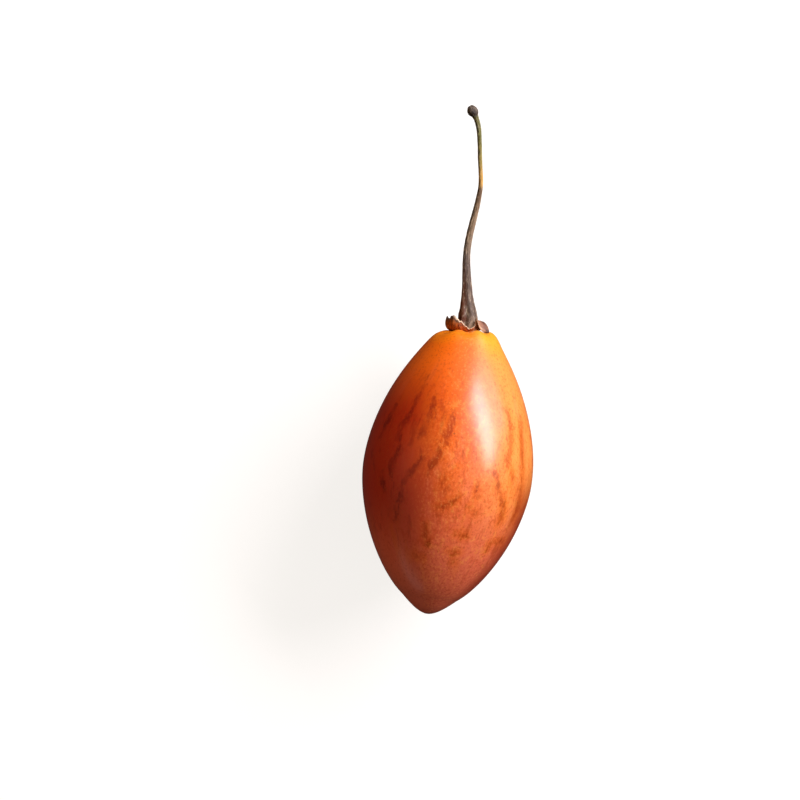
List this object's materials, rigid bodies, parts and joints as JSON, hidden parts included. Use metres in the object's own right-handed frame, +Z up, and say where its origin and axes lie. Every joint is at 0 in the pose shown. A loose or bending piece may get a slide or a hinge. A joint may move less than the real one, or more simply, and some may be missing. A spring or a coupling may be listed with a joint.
{
  "type": "tamarillo",
  "caption": "Whole ripe tamarillo lying on its side: egg-shaped orange-red fruit with a pointed end, dried lobed calyx and long curved stem.",
  "frame": {"origin": "the middle of the small flat spot that the fruit rests on, straight below its balance point", "axes": "+Y runs along the fruit from the pointed blossom end to the stem, +Z is up from the surface it lies on, and +X is to the right seen from above with the stem pointing away"},
  "size_m": [0.0443, 0.1332, 0.0437],
  "materials": {
    "fruit_skin": "smooth waxy fruit skin, satin, orange flushed with red, darker wavy streaks along the fruit",
    "dry_calyx": "dry, leathery, matt brown with pale worn edges",
    "dry_stem": "dry, finely ridged, grey-brown at the foot and olive green towards the far end"
  },
  "bodies": {
    "root": {"fruit": "fruit_skin", "calyx": "dry_calyx", "stem": "dry_stem"}
  },
  "joints": []
}
